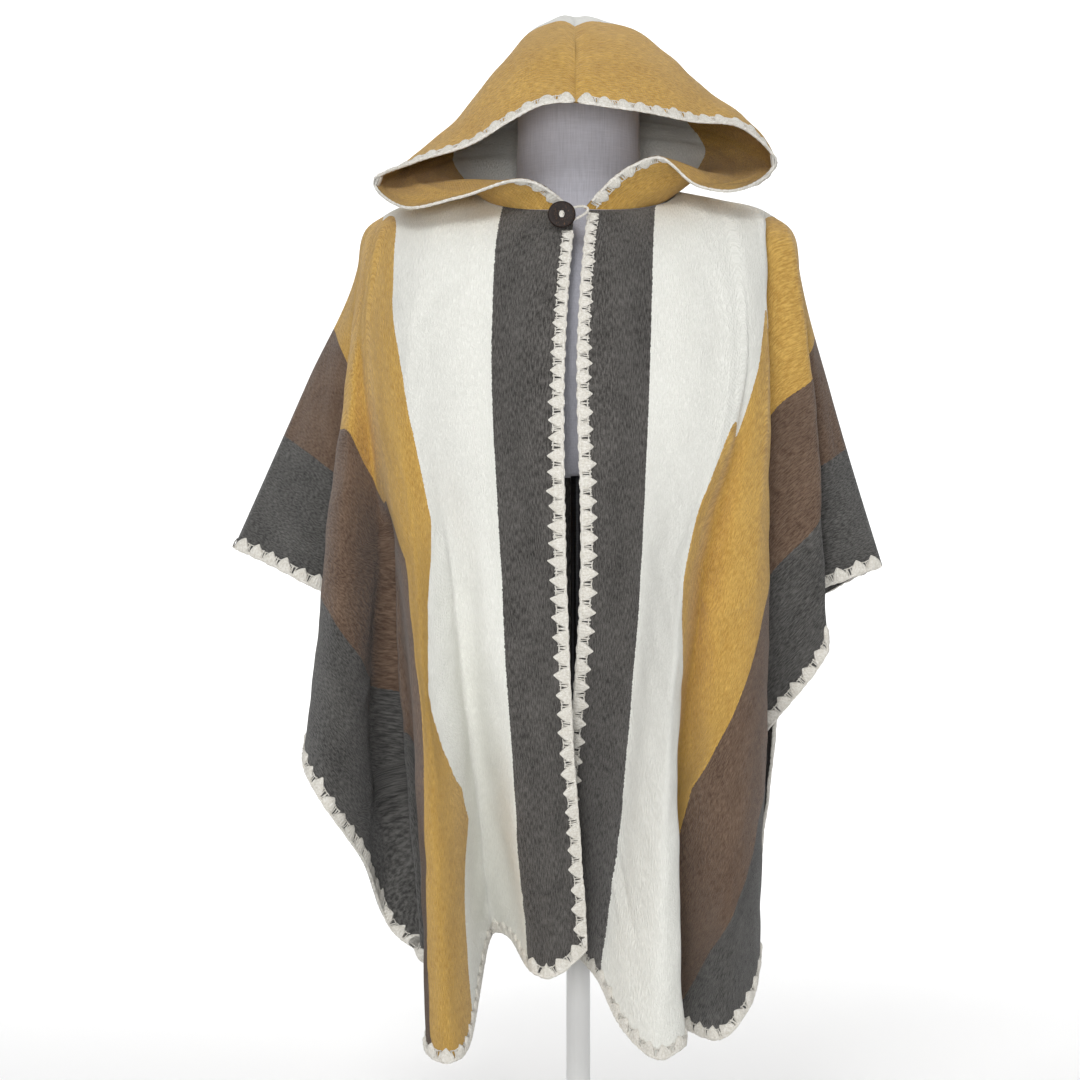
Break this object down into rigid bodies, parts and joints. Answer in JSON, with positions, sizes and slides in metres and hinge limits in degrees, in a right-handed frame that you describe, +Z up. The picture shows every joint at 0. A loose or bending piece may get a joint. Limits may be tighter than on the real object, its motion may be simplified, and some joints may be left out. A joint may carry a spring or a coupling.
{
  "type": "hooded ruana poncho on a dress form",
  "caption": "Striped open-front hooded ruana poncho with crochet edging, draped on a limbless dress form with a pole and round base.",
  "frame": {"origin": "centre of the underside of the stand's base, on the floor", "axes": "+Z up, the open front faces -Y, +X to the wearer's left"},
  "size_m": [0.6799, 0.4888, 1.1889],
  "materials": {
    "body_cloth": "brushed alpaca-like cloth with a short nap, striped charcoal, white, mustard, brown and grey",
    "hood_cloth": "the same brushed cloth, mustard at the rim and white behind",
    "crochet": "ivory yarn, matte",
    "button_shell": "dark polished coconut shell",
    "form_fabric": "plain grey-lavender stretch cover",
    "white_enamel": "semi-gloss white enamel",
    "dark_steel": "dark satin steel"
  },
  "bodies": {
    "root": {"front_right": "body_cloth", "front_left": "body_cloth", "back": "body_cloth", "hood_right": "hood_cloth", "hood_left": "hood_cloth", "edging_front_right": "crochet", "edging_front_left": "crochet", "edging_back": "crochet", "edging_hood_right": "crochet", "edging_hood_left": "crochet", "button": "button_shell", "button_loop": "crochet", "dress_form": "form_fabric", "stand_rod": "dark_steel", "stand_collar": "dark_steel", "stand_tube": "white_enamel", "stand_base": "white_enamel"}
  },
  "joints": []
}
